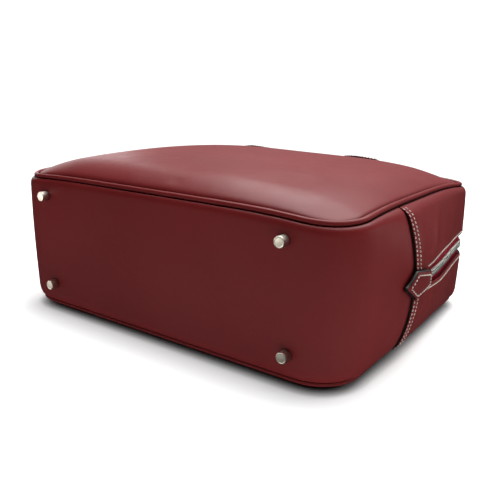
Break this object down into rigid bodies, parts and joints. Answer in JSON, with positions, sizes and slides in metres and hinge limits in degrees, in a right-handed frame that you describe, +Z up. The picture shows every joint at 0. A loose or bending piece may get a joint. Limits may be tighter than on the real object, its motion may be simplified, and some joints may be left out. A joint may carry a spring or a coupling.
{
  "type": "soft leather zip-top bag",
  "caption": "Boxy soft leather bag lying on its back panel, with a zipped top, piped panels, metal feet and rolled leather handles.",
  "frame": {"origin": "middle of the flat area of the back panel that the bag rests on", "axes": "+X along the bag's length, +Y from the feet at its bottom to the zip at its top, +Z up from the back panel to the front panel"},
  "size_m": [0.3432, 0.3755, 0.1307],
  "materials": {
    "body_leather": "smooth semi-gloss calf leather, burgundy",
    "strap_leather": "smooth burgundy leather, stitched and edge painted",
    "nickel": "polished pale nickel",
    "zip_tape": "woven crimson tape",
    "lining": "matt twill",
    "board": "fibre board",
    "thread": "waxed off-white thread",
    "edge_paint": "black edge paint, satin"
  },
  "bodies": {
    "root": {"back_panel": "body_leather", "back_piping": "body_leather", "bottom_gusset": "body_leather", "base_board": "board", "foot_front_left": "nickel", "foot_front_right": "nickel", "foot_back_left": "nickel", "foot_back_right": "nickel", "foot_washer_front_left": "nickel", "foot_washer_front_right": "nickel", "foot_washer_back_left": "nickel", "foot_washer_back_right": "nickel", "upper_gusset_back": "body_leather", "zip_tape_back": "zip_tape", "zip_teeth_back": "nickel", "zip_end_tab_left": "strap_leather", "zip_end_tab_right": "strap_leather", "back_handle_tab_left": "strap_leather", "back_handle_tab_right": "strap_leather", "lining_back": "lining", "lining_bottom": "lining", "lining_gusset_back": "lining", "inner_pocket": "lining"},
    "front_half": {"front_panel": "body_leather", "front_piping": "body_leather", "upper_gusset_front": "body_leather", "zip_tape_front": "zip_tape", "zip_teeth_front": "nickel", "front_handle_tab_left": "strap_leather", "front_handle_tab_right": "strap_leather", "lining_front": "lining", "lining_gusset_front": "lining"},
    "front_grip": {"front_handle": "strap_leather"},
    "back_grip": {"back_handle": "strap_leather"},
    "slider_left": {"zip_slider_left": "nickel"},
    "slider_right": {"zip_slider_right": "nickel"},
    "pull_left": {"zip_pull_left": "nickel", "zip_pull_tab_left": "strap_leather"},
    "pull_right": {"zip_pull_right": "nickel", "zip_pull_tab_right": "strap_leather"}
  },
  "joints": [
    {"name": "mouth_open", "type": "hinge", "parent": "root", "child": "front_half", "pos_m": [0, -0.06, 0.13], "axis": [1, 0, 0], "range_deg": [0, 22]},
    {"name": "front_handle_swing", "type": "hinge", "parent": "front_half", "child": "front_grip", "pos_m": [0, 0.134, 0.118], "axis": [1, 0, 0], "range_deg": [0, 190]},
    {"name": "back_handle_swing", "type": "hinge", "parent": "root", "child": "back_grip", "pos_m": [0, 0.134, 0.005], "axis": [1, 0, 0], "range_deg": [0, 60]},
    {"name": "slider_left_slide", "type": "slide", "parent": "root", "child": "slider_left", "axis": [-1, 0, 0], "range_m": [0, 0.086]},
    {"name": "slider_right_slide", "type": "slide", "parent": "root", "child": "slider_right", "axis": [1, 0, 0], "range_m": [0, 0.086]},
    {"name": "pull_left_flip", "type": "hinge", "parent": "slider_left", "child": "pull_left", "pos_m": [-0.007, 0.1283, 0.061], "axis": [0, 0, -1], "range_deg": [0, 120]},
    {"name": "pull_right_flip", "type": "hinge", "parent": "slider_right", "child": "pull_right", "pos_m": [0.007, 0.1283, 0.061], "axis": [0, 0, 1], "range_deg": [0, 120]}
  ]
}
